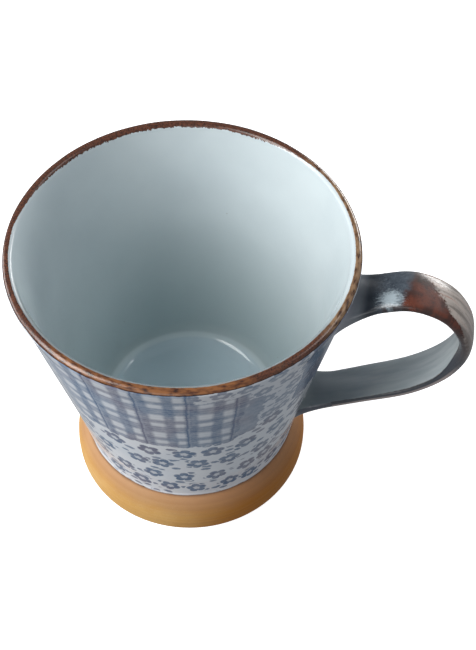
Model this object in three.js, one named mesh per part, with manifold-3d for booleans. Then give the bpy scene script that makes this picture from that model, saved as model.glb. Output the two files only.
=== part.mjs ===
// A stoneware mug: a conical cup seated in a turned foot ring, with a strap handle luted to its wall
// and a coat of glaze on everything but the foot. Millimetres, +Z up, standing on z = 0.
// The origin is under the middle of the mug's whole box, and the handle points along +X.

import * as THREE from "three";
import { mergeVertices } from "three/addons/utils/BufferGeometryUtils.js";
import Module from "manifold-3d";

// Cup. The glazed outside is one straight cone from the waist to the lip.
const RIM_RADIUS = 47.5;
const CUP_HEIGHT = 92;
const WAIST_RADIUS = 31.9;
const WAIST_HEIGHT = 14;
const LIP_RADIUS = 1.5;
const WALL_AT_FLOOR = 4.6;
const FLOOR_HEIGHT = 14.4;
const FLOOR_FILLET = 7.5;
const UNDERSIDE_HEIGHT = 8.5;

// Foot ring: a bare clay collar, wider than the waist, round-shouldered and hollow underneath.
const FOOT_RADIUS = 36.2;
const FOOT_EDGE = 1;
const FOOT_SHOULDER = 11;
const RECESS_RADIUS = 28.5;
const RECESS_EDGE = 0.8;

// Glaze: its thickness, and how far the brown band wraps down each side of the lip.
const COAT = 0.5;
const BAND_OUTSIDE = 2;
const BAND_INSIDE = 1.8;

// Handle: a flat strap with rounded edges, bent through these points (distance from the axis, height).
const HANDLE_PATH = [
  [41, 74.6],
  [53.5, 81.7],
  [62.6, 84],
  [72.4, 79.4],
  [77.9, 69.2],
  [75, 57.2],
  [66.2, 47.1],
  [51.5, 38],
  [32.6, 28],
];
const STRAP_HALF_WIDTH = 6.5;
const STRAP_HALF_THICKNESS = 2.1;
const STRAP_SQUARENESS = 2.6;
const GLAZE_WRAP = 1.8;

// Roots: the strap's two flared ends, spread on the wall where the handle was luted on.
const UPPER_ROOT_HALF_WIDTH = 11.5;
const LOWER_ROOT_HALF_WIDTH = 9.5;
const ROOT_HALF_THICKNESS = 3.4;
const UPPER_ROOT_LENGTH = 15;
const LOWER_ROOT_LENGTH = 13;

// Gaps: between turned layers that lie on one another, and where a piece is cut by its neighbour.
const LAYER_GAP = 0.05;
const CUT_GAP = 0.3;

// Smoothness.
const TURNS = 60;
const LIP_STEPS = 3;
const FILLET_STEPS = 6;
const EDGE_STEPS = 3;
const SHOULDER_STEPS = 7;
const STRAP_STEPS = 30;
const STRAP_ARC_STEPS = 16;
const ROOT_SIDES = 28;
const ROOT_STEPS = 6;

const wasm = await Module();
wasm.setup();

const CLAY_DEPTH = COAT + LAYER_GAP;
const lipCentre = new THREE.Vector2(RIM_RADIUS - LIP_RADIUS, CUP_HEIGHT - LIP_RADIUS);

// The lean from upright of a wall line that passes through a point and touches the lip's circle,
// on its outer side (+1) or its inner side (-1).
function wallLean(point, side) {
  const toLip = lipCentre.clone().sub(point);
  return Math.atan2(toLip.x, toLip.y) + side * Math.asin(LIP_RADIUS / toLip.length());
}

const OUTER_LEAN = wallLean(new THREE.Vector2(WAIST_RADIUS, WAIST_HEIGHT), 1);
const FLOOR_CORNER_RADIUS =
  WAIST_RADIUS + (FLOOR_HEIGHT - WAIST_HEIGHT) * Math.tan(OUTER_LEAN) - WALL_AT_FLOOR;
const INNER_LEAN = wallLean(new THREE.Vector2(FLOOR_CORNER_RADIUS, FLOOR_HEIGHT), -1);

// Radius of the outer and the inner wall line at a height, at a depth below the glazed surface.
function outerRadius(height, depth) {
  return WAIST_RADIUS + (height - WAIST_HEIGHT) * Math.tan(OUTER_LEAN) - depth / Math.cos(OUTER_LEAN);
}

function innerRadius(height, depth) {
  const run = (height - FLOOR_HEIGHT) * Math.tan(INNER_LEAN);
  return FLOOR_CORNER_RADIUS + run + depth / Math.cos(INNER_LEAN);
}

// Points on an ellipse's arc, from one angle to another, both included.
function arc(centreX, centreY, radiusX, radiusY, from, to, steps) {
  const points = [];
  for (let i = 0; i <= steps; i++) {
    const angle = from + ((to - from) * i) / steps;
    points.push([centreX + radiusX * Math.cos(angle), centreY + radiusY * Math.sin(angle)]);
  }
  return points;
}

// A quarter of an ellipse, counting quarters anticlockwise from the one between +radius and +height.
function quarterRound(centreX, centreY, radiusX, radiusY, quarter, steps) {
  const from = (quarter * Math.PI) / 2;
  return arc(centreX, centreY, radiusX, radiusY, from, from + Math.PI / 2, steps);
}

// The lip's round, from the outer wall over the top to the inner wall, at a depth.
function lipArc(depth) {
  const radius = LIP_RADIUS - depth;
  const { x, y } = lipCentre;
  const top = Math.PI / 2;
  return [
    ...arc(x, y, radius, radius, -OUTER_LEAN, 0, 1),
    ...arc(x, y, radius, radius, 0, top, LIP_STEPS).slice(1),
    ...arc(x, y, radius, radius, top, Math.PI - INNER_LEAN, LIP_STEPS).slice(1),
  ];
}

// The round between the inner wall and the floor, at a depth.
function floorArc(depth) {
  const centreHeight = FLOOR_HEIGHT + FLOOR_FILLET;
  const centreRadius = innerRadius(centreHeight, 0) - FLOOR_FILLET / Math.cos(INNER_LEAN);
  const radius = FLOOR_FILLET + depth;
  return arc(centreRadius, centreHeight, radius, radius, -INNER_LEAN, -Math.PI / 2, FILLET_STEPS);
}

// A solid turned about the cup's axis from a profile of [radius, height] points.
function turned(profile) {
  const points = profile.map(([radius, height]) => new THREE.Vector2(radius, height));
  return new THREE.LatheGeometry(points, TURNS).rotateX(Math.PI / 2);
}

// The same, from a ring-shaped profile that doesn't reach the axis.
function turnedRing(profile) {
  return turned([...profile, profile[0]]);
}

function toManifold(geometry) {
  const bare = geometry.clone();
  bare.deleteAttribute("normal");
  bare.deleteAttribute("uv");
  const merged = mergeVertices(bare, 1e-4);
  return new wasm.Manifold(
    new wasm.Mesh({
      numProp: 3,
      vertProperties: new Float32Array(merged.attributes.position.array),
      triVerts: new Uint32Array(merged.index.array),
    }),
  );
}

function toGeometry(manifold) {
  const mesh = manifold.getMesh();
  const geometry = new THREE.BufferGeometry();
  geometry.setAttribute("position", new THREE.BufferAttribute(mesh.vertProperties, 3));
  geometry.setIndex(new THREE.BufferAttribute(mesh.triVerts, 1));
  geometry.computeVertexNormals();
  return geometry;
}

function piece(name, geometry, colour, roughness) {
  const material = new THREE.MeshStandardMaterial({ color: colour, roughness, metalness: 0 });
  const mesh = new THREE.Mesh(geometry, material);
  mesh.name = name;
  return mesh;
}

// ---- Cup and foot ----

// Thrown clay: floor and wall in one piece, tapering to the lip.
function cupBody() {
  return turned([
    [0, UNDERSIDE_HEIGHT],
    [outerRadius(UNDERSIDE_HEIGHT, CLAY_DEPTH), UNDERSIDE_HEIGHT],
    ...lipArc(CLAY_DEPTH),
    ...floorArc(CLAY_DEPTH),
    [0, FLOOR_HEIGHT - CLAY_DEPTH],
  ]);
}

// The cup's lower cone sits in this ring: on a ledge under its floor, and inside a conical collar.
function footRing() {
  const shoulderHeight = WAIST_HEIGHT - FOOT_SHOULDER;
  const shoulderDepth = FOOT_RADIUS - WAIST_RADIUS;
  const shoulderRise = FOOT_SHOULDER - LAYER_GAP;
  const ledgeHeight = UNDERSIDE_HEIGHT - LAYER_GAP;
  return turnedRing([
    ...quarterRound(RECESS_RADIUS + RECESS_EDGE, RECESS_EDGE, RECESS_EDGE, RECESS_EDGE, 2, EDGE_STEPS),
    ...quarterRound(FOOT_RADIUS - FOOT_EDGE, FOOT_EDGE, FOOT_EDGE, FOOT_EDGE, 3, EDGE_STEPS),
    ...quarterRound(WAIST_RADIUS, shoulderHeight, shoulderDepth, shoulderRise, 0, SHOULDER_STEPS),
    [outerRadius(WAIST_HEIGHT - LAYER_GAP, COAT), WAIST_HEIGHT - LAYER_GAP],
    [outerRadius(ledgeHeight, COAT), ledgeHeight],
    [RECESS_RADIUS, ledgeHeight],
  ]);
}

// ---- Glaze on the cup ----

const BAND_OUTER_HEIGHT = CUP_HEIGHT - BAND_OUTSIDE;
const BAND_INNER_HEIGHT = CUP_HEIGHT - BAND_INSIDE;

// Pale liner: up the inner wall to the brown band, with the floor and its fillet.
function innerGlaze() {
  const top = BAND_INNER_HEIGHT - LAYER_GAP;
  return turned([
    [0, FLOOR_HEIGHT - COAT],
    ...floorArc(COAT).reverse(),
    [innerRadius(top, COAT), top],
    [innerRadius(top, 0), top],
    ...floorArc(0),
    [0, FLOOR_HEIGHT],
  ]);
}

// Iron-brown band over the lip.
function rimGlaze() {
  return turnedRing([
    [outerRadius(BAND_OUTER_HEIGHT, 0), BAND_OUTER_HEIGHT],
    ...lipArc(0),
    [innerRadius(BAND_INNER_HEIGHT, 0), BAND_INNER_HEIGHT],
    [innerRadius(BAND_INNER_HEIGHT, COAT), BAND_INNER_HEIGHT],
    ...lipArc(COAT).reverse(),
    [outerRadius(BAND_OUTER_HEIGHT, COAT), BAND_OUTER_HEIGHT],
  ]);
}

// Printed outside coat, from the waist to the brown band, open where the handle's roots reach the clay.
function outerGlaze() {
  const top = BAND_OUTER_HEIGHT - LAYER_GAP;
  const coat = turnedRing([
    [outerRadius(WAIST_HEIGHT, 0), WAIST_HEIGHT],
    [outerRadius(top, 0), top],
    [outerRadius(top, COAT), top],
    [outerRadius(WAIST_HEIGHT, COAT), WAIST_HEIGHT],
  ]);
  const windows = toManifold(upperFlare(CUT_GAP)).add(toManifold(lowerFlare(CUT_GAP)));
  return toGeometry(toManifold(coat).subtract(windows));
}

// ---- Handle ----

const handlePath = new THREE.CatmullRomCurve3(
  HANDLE_PATH.map(([reach, height]) => new THREE.Vector3(reach, 0, height)),
  false,
  "catmullrom",
  0.5,
);
const HANDLE_LENGTH = handlePath.getLength();

// A stretch of the handle's path, between two distances along it.
class PathStretch extends THREE.Curve {
  constructor(from, to) {
    super();
    this.from = from;
    this.to = to;
  }

  getPoint(t, target = new THREE.Vector3()) {
    const distance = this.from + (this.to - this.from) * t;
    return handlePath.getPointAt(distance / HANDLE_LENGTH, target);
  }
}

const strapStretch = new PathStretch(
  UPPER_ROOT_LENGTH + CUT_GAP,
  HANDLE_LENGTH - LOWER_ROOT_LENGTH - CUT_GAP,
);

// A point on the strap's rounded-oblong outline: x across the strap, y through its thickness.
function outlinePoint(halfWidth, halfThickness, angle) {
  const c = Math.cos(angle);
  const s = Math.sin(angle);
  return new THREE.Vector2(
    halfWidth * Math.sign(c) * Math.abs(c) ** (2 / STRAP_SQUARENESS),
    halfThickness * Math.sign(s) * Math.abs(s) ** (2 / STRAP_SQUARENESS),
  );
}

function outlineArc(depth, from, to, steps) {
  const points = [];
  for (let i = 0; i <= steps; i++) {
    const angle = from + ((to - from) * i) / steps;
    points.push(outlinePoint(STRAP_HALF_WIDTH - depth, STRAP_HALF_THICKNESS - depth, angle));
  }
  return points;
}

// The angle at which the dark coat ends, after it has wrapped round the edge onto the inner face.
const WRAP_ANGLE = Math.acos((1 - GLAZE_WRAP / STRAP_HALF_WIDTH) ** (STRAP_SQUARENESS / 2));

// Sweeps an outline along the strap. Its +y side faces into the loop.
function alongStrap(outline) {
  const shape = new THREE.Shape(outline);
  return new THREE.ExtrudeGeometry(shape, { steps: STRAP_STEPS, extrudePath: strapStretch });
}

function handleStrap() {
  return alongStrap(outlineArc(CLAY_DEPTH, 0, 2 * Math.PI, 2 * STRAP_ARC_STEPS).slice(0, -1));
}

// A coat on part of the strap's outline, between two angles.
function strapCoat(from, to, steps) {
  return alongStrap([...outlineArc(0, from, to, steps), ...outlineArc(COAT, from, to, steps).reverse()]);
}

function handleOuterGlaze() {
  return strapCoat(Math.PI - WRAP_ANGLE, 2 * Math.PI + WRAP_ANGLE, STRAP_ARC_STEPS + 4);
}

function handleInnerGlaze() {
  const gapAngle = LAYER_GAP / STRAP_HALF_THICKNESS;
  return strapCoat(WRAP_ANGLE + gapAngle, Math.PI - WRAP_ANGLE - gapAngle, STRAP_ARC_STEPS / 2);
}

// A root before it is cut to the wall: the strap's outline, swelling towards the wall end.
function flare(wallDistance, strapDistance, wallHalfWidth, margin) {
  const geometry = new THREE.CylinderGeometry(1, 1, 1, ROOT_SIDES, ROOT_STEPS);
  const position = geometry.attributes.position;
  const vertex = new THREE.Vector3();
  const centre = new THREE.Vector3();
  const tangent = new THREE.Vector3();
  const across = new THREE.Vector3(0, 1, 0);
  const outwards = new THREE.Vector3();
  const handedness = Math.sign(wallDistance - strapDistance);
  for (let i = 0; i < position.count; i++) {
    vertex.fromBufferAttribute(position, i);
    const away = vertex.y + 0.5;
    const swell = (1 - away) ** 2;
    const halfWidth = THREE.MathUtils.lerp(STRAP_HALF_WIDTH, wallHalfWidth, swell) + margin;
    const halfThickness = THREE.MathUtils.lerp(STRAP_HALF_THICKNESS, ROOT_HALF_THICKNESS, swell) + margin;
    const radius = Math.hypot(vertex.x, vertex.z);
    const angle = Math.atan2(vertex.z, vertex.x);
    const outline = outlinePoint(halfWidth * radius, halfThickness * radius, angle);
    const u = THREE.MathUtils.lerp(wallDistance, strapDistance, away) / HANDLE_LENGTH;
    handlePath.getPointAt(u, centre);
    handlePath.getTangentAt(u, tangent);
    outwards.crossVectors(tangent, across);
    centre.addScaledVector(across, handedness * outline.x).addScaledVector(outwards, outline.y);
    position.setXYZ(i, centre.x, centre.y, centre.z);
  }
  return geometry;
}

function upperFlare(margin) {
  return flare(0, UPPER_ROOT_LENGTH, UPPER_ROOT_HALF_WIDTH, margin);
}

function lowerFlare(margin) {
  return flare(HANDLE_LENGTH, HANDLE_LENGTH - LOWER_ROOT_LENGTH, LOWER_ROOT_HALF_WIDTH, margin);
}

// Cuts a flared end to the cup's clay wall, leaving the cut gap.
function seatedOnWall(flareGeometry) {
  const depth = CLAY_DEPTH - CUT_GAP;
  const wall = turned([
    [0, WAIST_HEIGHT],
    [outerRadius(WAIST_HEIGHT, depth), WAIST_HEIGHT],
    [outerRadius(CUP_HEIGHT, depth), CUP_HEIGHT],
    [0, CUP_HEIGHT],
  ]);
  return toGeometry(toManifold(flareGeometry).subtract(toManifold(wall)));
}

// ---- Assembly ----

const mug = new THREE.Group();
mug.add(
  piece("cup_body", cupBody(), 0xcfa276, 0.85),
  piece("foot_ring", footRing(), 0xc8935a, 0.8),
  piece("inner_glaze", innerGlaze(), 0xb9c6cd, 0.12),
  piece("outer_glaze", outerGlaze(), 0x97a3b4, 0.2),
  piece("rim_glaze", rimGlaze(), 0x6f452b, 0.3),
  piece("handle_strap", handleStrap(), 0xcfa276, 0.85),
  piece("handle_outer_glaze", handleOuterGlaze(), 0x4b423f, 0.22),
  piece("handle_inner_glaze", handleInnerGlaze(), 0xa5b3bc, 0.2),
  piece("upper_handle_root", seatedOnWall(upperFlare(0)), 0x4f5968, 0.25),
  piece("lower_handle_root", seatedOnWall(lowerFlare(0)), 0x58616c, 0.25),
);

// The origin goes under the middle of the whole box, handle included.
const wholeBox = new THREE.Box3().setFromObject(mug);
mug.position.x = -wholeBox.getCenter(new THREE.Vector3()).x;

export default mug;
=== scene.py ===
import math

import bpy
import numpy as np
from mathutils import Matrix, Vector


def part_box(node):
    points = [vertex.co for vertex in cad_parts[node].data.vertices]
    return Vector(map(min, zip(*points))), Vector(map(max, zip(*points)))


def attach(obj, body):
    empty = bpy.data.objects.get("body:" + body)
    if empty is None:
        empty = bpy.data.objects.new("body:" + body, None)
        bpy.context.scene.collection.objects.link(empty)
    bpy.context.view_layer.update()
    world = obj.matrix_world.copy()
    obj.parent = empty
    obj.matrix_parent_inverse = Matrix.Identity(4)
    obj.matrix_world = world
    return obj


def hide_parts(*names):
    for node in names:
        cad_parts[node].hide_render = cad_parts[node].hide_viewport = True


# A glazed stoneware mug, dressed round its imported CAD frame. Metres, +Z up, the handle along +X.
# Every piece sits at the origin, so its object coordinates are the frame's coordinates.

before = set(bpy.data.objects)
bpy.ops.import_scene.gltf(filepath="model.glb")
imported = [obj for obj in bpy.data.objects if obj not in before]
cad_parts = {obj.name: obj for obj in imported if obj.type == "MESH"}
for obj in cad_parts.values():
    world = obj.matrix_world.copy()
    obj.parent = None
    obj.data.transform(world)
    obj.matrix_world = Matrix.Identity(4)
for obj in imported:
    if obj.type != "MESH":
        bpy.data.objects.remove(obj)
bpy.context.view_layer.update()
MM = 0.001

# Cup: the axis, rim and height come from the frame, and the rest repeats part.mjs.
BAND_LOW, BAND_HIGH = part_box("rim_glaze")
AXIS_X = (BAND_LOW.x + BAND_HIGH.x) / 2
RIM_RADIUS = (BAND_HIGH.x - BAND_LOW.x) / 2
CUP_HEIGHT = BAND_HIGH.z
BAND_OUTER_HEIGHT = BAND_LOW.z
LIP_RADIUS = 1.5 * MM
LIP_REACH = 1.8 * MM
BAND_INNER_HEIGHT = CUP_HEIGHT - LIP_REACH
WAIST_RADIUS = 31.9 * MM
WAIST_HEIGHT = 14 * MM
WALL_AT_FLOOR = 4.6 * MM
FLOOR_HEIGHT = 14.4 * MM
FLOOR_FILLET = 7.5 * MM
UNDERSIDE_HEIGHT = 8.5 * MM
COAT = 0.5 * MM
LAYER_GAP = 0.05 * MM
CLAY_DEPTH = COAT + LAYER_GAP

# The thrown wall runs a little inside the straight cone, so the lip stands out as a soft bead.
WALL_HOLLOW = 0.45 * MM
HOLLOW_REACH = 4 * MM

# Foot ring.
FOOT_RADIUS = 36.2 * MM
FOOT_EDGE = 1 * MM
FOOT_SHOULDER = 11 * MM
RECESS_RADIUS = 28.5 * MM
RECESS_EDGE = 0.8 * MM

# Handle: (distance from the cup's axis, height) of its middle line, and its outline.
HANDLE_PATH = MM * np.array([
    [41, 74.6],
    [53.5, 81.7],
    [62.6, 84],
    [72.4, 79.4],
    [77.9, 69.2],
    [75, 57.2],
    [66.2, 47.1],
    [51.5, 38],
    [32.6, 28],
])
STRAP_HALF_WIDTH = 6.5 * MM
STRAP_HALF_THICKNESS = 2.1 * MM
STRAP_SQUARENESS = 2.6
STRAP_EDGE_SHRINK = 0.15 * MM
STRAP_FACE_SHRINK = 0.03 * MM
UPPER_ROOT_LENGTH = 15 * MM
LOWER_ROOT_LENGTH = 13 * MM
ROOT_SINK = 0.28 * MM

# Smoothness.
TURNS = 288
STRAP_ROWS = 150
ROOT_ROWS = 26
ROOT_COLUMNS = 72


# ---- Outlines of the cup ----


def smooth(value, low, high):
    """0 below low, 1 above high, and a smooth rise between them."""
    share = np.clip((value - low) / (high - low), 0, 1)
    return share * share * (3 - 2 * share)


LIP_CENTRE = (RIM_RADIUS - LIP_RADIUS, CUP_HEIGHT - LIP_RADIUS)


def wall_lean(radius, height, side):
    """The lean of the wall's line from a point to where it touches the lip's circle.
    side is 1 for the outer wall and -1 for the inner wall."""
    run = LIP_CENTRE[0] - radius
    rise = LIP_CENTRE[1] - height
    return math.atan2(run, rise) + side * math.asin(LIP_RADIUS / math.hypot(run, rise))


OUTER_LEAN = wall_lean(WAIST_RADIUS, WAIST_HEIGHT, 1)
FLOOR_CORNER = WAIST_RADIUS + (FLOOR_HEIGHT - WAIST_HEIGHT) * math.tan(OUTER_LEAN) - WALL_AT_FLOOR
INNER_LEAN = wall_lean(FLOOR_CORNER, FLOOR_HEIGHT, -1)


def outer_radius(height, depth=0.0):
    """Radius of the outside at a height, at a depth under the glazed surface."""
    below_lip = np.maximum(LIP_CENTRE[1] - LIP_RADIUS * math.sin(OUTER_LEAN) - height, 0)
    hollow = WALL_HOLLOW * (1 - np.exp(-((below_lip / HOLLOW_REACH) ** 2)))
    hollow = hollow * smooth(height, WAIST_HEIGHT, WAIST_HEIGHT + 25 * MM)
    cone = WAIST_RADIUS + (height - WAIST_HEIGHT) * math.tan(OUTER_LEAN)
    return cone - hollow - depth / math.cos(OUTER_LEAN)


def inner_radius(height, depth=0.0):
    return FLOOR_CORNER + (height - FLOOR_HEIGHT) * math.tan(INNER_LEAN) + depth / math.cos(INNER_LEAN)


def arc(centre, radii, start, end, steps):
    """Points on an ellipse's arc, from one angle to another, both included."""
    angles = np.linspace(start, end, steps + 1)
    return np.column_stack((centre[0] + radii[0] * np.cos(angles), centre[1] + radii[1] * np.sin(angles)))


def lip_arc(depth, steps=20):
    """The lip's round, from the outer wall over the top to the inner wall."""
    radius = LIP_RADIUS - depth
    return arc(LIP_CENTRE, (radius, radius), -OUTER_LEAN, math.pi - INNER_LEAN, steps)


def floor_arc(depth, steps=18):
    """The round between the inner wall and the floor, from the wall down."""
    height = FLOOR_HEIGHT + FLOOR_FILLET
    centre = (inner_radius(height) - FLOOR_FILLET / math.cos(INNER_LEAN), height)
    radius = FLOOR_FILLET + depth
    return arc(centre, (radius, radius), -INNER_LEAN, -math.pi / 2, steps)


def outer_wall(low, high, depth, steps):
    heights = np.linspace(low, high, steps + 1)
    return np.column_stack((outer_radius(heights, depth), heights))


def inner_wall(low, high, depth, steps):
    heights = np.linspace(low, high, steps + 1)
    return np.column_stack((inner_radius(heights, depth), heights))


def flat(height, start, end, steps):
    """A level stretch of a profile, from one radius to another."""
    radii = np.linspace(start, end, steps + 1)
    return np.column_stack((radii, np.full(steps + 1, height)))


def upright(radius, start, end, steps):
    """A vertical stretch of a profile, from one height to another, without its two ends."""
    heights = np.linspace(start, end, steps + 1)
    return np.column_stack((np.full(steps + 1, radius), heights))[1:-1]


# ---- Meshes ----


def waver(angles, strengths, phase):
    """A smooth closed line round the cup, from -1 to 1 or so: a sum of a few waves."""
    line = 0
    for index, (count, strength) in enumerate(strengths):
        line = line + strength * np.sin(count * angles + phase + 1.7 * index)
    return line


def turned(profile, shape=None):
    """Rings of points from a [radius, height] profile turned about the cup's axis."""
    angles = np.linspace(0, 2 * math.pi, TURNS, endpoint=False)[None, :]
    radii = np.repeat(profile[:, :1], TURNS, axis=1)
    heights = np.repeat(profile[:, 1:], TURNS, axis=1)
    if shape:
        radii, heights = shape(radii, heights, angles)
    return np.stack((AXIS_X + radii * np.cos(angles), radii * np.sin(angles), heights), axis=-1)


def side_faces(rows, columns, ring_shaped):
    corners = np.arange(rows * columns).reshape(rows, columns)
    first = corners if ring_shaped else corners[:-1]
    second = np.roll(corners, -1, axis=0) if ring_shaped else corners[1:]
    faces = np.stack((first, np.roll(first, -1, axis=1), np.roll(second, -1, axis=1), second), axis=-1)
    return faces.reshape(-1, 4).tolist()


def end_fans(points, rows, columns):
    """Closes both ends of a stack of rings with fans round a middle point, which it adds to points."""
    faces = []
    for start, order in ((0, -1), ((rows - 1) * columns, 1)):
        ring = list(range(start, start + columns))[::order]
        middle = len(points)
        points.append(np.mean([points[corner] for corner in ring], axis=0).tolist())
        faces += [(corner, ring[(i + 1) % columns], middle) for i, corner in enumerate(ring)]
    return faces


def end_strips(rows, columns):
    """Closes both ends of a swept outline with strips from its first half to its second half."""
    faces = []
    for start, order in ((0, -1), ((rows - 1) * columns, 1)):
        for i in range(columns // 2 - 1):
            strip = (start + i, start + i + 1, start + columns - 2 - i, start + columns - 1 - i)
            faces.append(strip[::order])
    return faces


def enclosed_volume(mesh):
    mesh.calc_loop_triangles()
    points = np.empty(3 * len(mesh.vertices), np.float32)
    mesh.vertices.foreach_get("co", points)
    triangles = np.empty(3 * len(mesh.loop_triangles), np.int32)
    mesh.loop_triangles.foreach_get("vertices", triangles)
    corners = points.reshape(-1, 3)[triangles].reshape(-1, 3, 3).astype(float)
    return np.einsum("ij,ij->i", corners[:, 0], np.cross(corners[:, 1], corners[:, 2])).sum() / 6


def skinned(name, rings, ends, material, slot, node, **facts):
    """A closed mesh over rings of points, which stands for a CAD node.
    ends closes the stack of rings: as a "ring", or with a "fan" or "strip" at each end.
    facts are values at the points, which the materials read."""
    rows, columns = rings.shape[:2]
    points = rings.reshape(-1, 3).tolist()
    faces = side_faces(rows, columns, ends == "ring")
    if ends == "fan":
        faces += end_fans(points, rows, columns)
    if ends == "strip":
        faces += end_strips(rows, columns)
    mesh = bpy.data.meshes.new(name)
    mesh.from_pydata(points, [], faces)
    if enclosed_volume(mesh) < 0:
        mesh.flip_normals()
    mesh.shade_smooth()
    mesh.set_sharp_from_angle(angle=math.radians(55))
    for fact, values in facts.items():
        layer = mesh.attributes.new(fact, "FLOAT", "POINT")
        padded = np.resize(np.asarray(values, np.float32).ravel(), len(points))
        layer.data.foreach_set("value", padded)
    mesh.materials.append(material)
    piece = bpy.data.objects.new(name, mesh)
    bpy.context.scene.collection.objects.link(piece)
    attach(piece, "root")
    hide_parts(node)
    return piece


# ---- Patterns: values over a surface, built as shader nodes ----


class Field:
    """A value that varies over a surface: a node's output, with arithmetic that adds Math nodes."""

    def __init__(self, tree, socket):
        self.tree = tree
        self.socket = socket

    def math(self, operation, *values):
        node = self.tree.nodes.new("ShaderNodeMath")
        node.operation = operation
        for socket, value in zip(node.inputs, (self, *values)):
            plug(self.tree, socket, value)
        return Field(self.tree, node.outputs[0])

    def __add__(self, other):
        return self.math("ADD", other)

    def __radd__(self, other):
        return self.math("ADD", other)

    def __sub__(self, other):
        return self.math("SUBTRACT", other)

    def __rsub__(self, other):
        return (self * -1).math("ADD", other)

    def __mul__(self, other):
        return self.math("MULTIPLY", other)

    def __rmul__(self, other):
        return self.math("MULTIPLY", other)

    def __truediv__(self, other):
        return self.math("DIVIDE", other)

    def least(self, other):
        return self.math("MINIMUM", other)

    def most(self, other):
        return self.math("MAXIMUM", other)

    def whole(self):
        return self.math("FLOOR")

    def part(self):
        return self.math("FRACT")

    def size(self):
        return self.math("ABSOLUTE")

    def rise(self, low, high):
        """0 at low, 1 at high, and smooth between them. It falls where low is above high."""
        node = self.tree.nodes.new("ShaderNodeMapRange")
        node.interpolation_type = "SMOOTHSTEP"
        ends = (low, high, 0, 1) if low <= high else (high, low, 1, 0)
        plug(self.tree, node.inputs["Value"], self)
        for socket, value in zip(("From Min", "From Max", "To Min", "To Max"), ends):
            node.inputs[socket].default_value = value
        return Field(self.tree, node.outputs["Result"])

    def bump_at(self, centre, reach):
        """1 at centre, falling smoothly to 0 at reach on either side."""
        return (self - centre).size().rise(reach, 0)

    def stripe(self, centre, half_width, softness):
        """1 on a stripe that repeats once in every whole number."""
        distance = ((self - centre + 0.5).part() - 0.5).size()
        return distance.rise(half_width + softness, half_width - softness)


def plug(tree, socket, value):
    """Links a field or a node's output to a socket, or sets the socket to a constant."""
    if isinstance(value, Field):
        value = value.socket
    if isinstance(value, bpy.types.NodeSocket):
        tree.links.new(value, socket)
    elif isinstance(value, tuple) and len(value) == 3 and socket.type == "RGBA":
        socket.default_value = (*value, 1)
    else:
        socket.default_value = value


class Look:
    """One material: its fields over the surface, its colour mixes, and its shader."""

    def __init__(self, name):
        self.material = bpy.data.materials.new(name)
        self.material.use_nodes = True
        self.tree = self.material.node_tree
        self.shader = self.tree.nodes["Principled BSDF"]
        self.place = self.tree.nodes.new("ShaderNodeTexCoord").outputs["Object"]
        parts = self.tree.nodes.new("ShaderNodeSeparateXYZ")
        plug(self.tree, parts.inputs[0], self.place)
        self.x, self.y, self.z = (Field(self.tree, socket) for socket in parts.outputs)

    def turn(self):
        """Degrees round the cup's axis, from the handle's side, anticlockwise from above."""
        return self.y.math("ARCTAN2", self.x - AXIS_X) * math.degrees(1)

    def reach(self):
        """Distance from the cup's axis."""
        from_axis = self.x - AXIS_X
        return (from_axis * from_axis + self.y * self.y).math("SQRT")

    def fact(self, name):
        node = self.tree.nodes.new("ShaderNodeAttribute")
        node.attribute_name = name
        return Field(self.tree, node.outputs["Fac"])

    def vector(self, x, y, z=0.0):
        node = self.tree.nodes.new("ShaderNodeCombineXYZ")
        for socket, value in zip(node.inputs, (x, y, z)):
            plug(self.tree, socket, value)
        return node.outputs[0]

    def noise(self, size, detail=2.0, place=None, seed=0.0, roughness=0.5):
        """Cloudy noise from 0 to 1, mostly near 0.5, with features of that size."""
        node = self.tree.nodes.new("ShaderNodeTexNoise")
        node.noise_dimensions = "4D"
        plug(self.tree, node.inputs["Vector"], place or self.place)
        for socket, value in (("W", seed), ("Scale", 1 / size), ("Detail", detail), ("Roughness", roughness)):
            node.inputs[socket].default_value = value
        return Field(self.tree, node.outputs["Fac"])

    def spots(self, size, place=None):
        """Distance from the nearest of many scattered points, in units of their spacing."""
        node = self.tree.nodes.new("ShaderNodeTexVoronoi")
        plug(self.tree, node.inputs["Vector"], place or self.place)
        node.inputs["Scale"].default_value = 1 / size
        return Field(self.tree, node.outputs["Distance"])

    def dice(self, x, y, seed):
        """Three random values, the same all over each whole-numbered cell."""
        node = self.tree.nodes.new("ShaderNodeTexWhiteNoise")
        plug(self.tree, node.inputs["Vector"], self.vector(x, y, seed))
        parts = self.tree.nodes.new("ShaderNodeSeparateColor")
        plug(self.tree, parts.inputs[0], node.outputs["Color"])
        return [Field(self.tree, socket) for socket in parts.outputs]

    def mix(self, share, first, second):
        """A colour that goes from first to second as share goes from 0 to 1."""
        node = self.tree.nodes.new("ShaderNodeMix")
        node.data_type = "RGBA"
        colours = [socket for socket in node.inputs if socket.type == "RGBA"]
        plug(self.tree, node.inputs[0], share)
        plug(self.tree, colours[0], first)
        plug(self.tree, colours[1], second)
        return next(socket for socket in node.outputs if socket.type == "RGBA")

    def finished(self, colour, roughness, relief, relief_depth, **constants):
        """Sets the shader: colour and roughness from fields, relief as bump, and plain constants."""
        plug(self.tree, self.shader.inputs["Base Color"], colour)
        plug(self.tree, self.shader.inputs["Roughness"], roughness)
        bump = self.tree.nodes.new("ShaderNodeBump")
        bump.inputs["Distance"].default_value = relief_depth
        plug(self.tree, bump.inputs["Height"], relief)
        plug(self.tree, self.shader.inputs["Normal"], bump.outputs[0])
        for name, value in constants.items():
            self.shader.inputs[name.replace("_", " ")].default_value = value
        return self.material


# ---- Materials: clay ----


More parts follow.
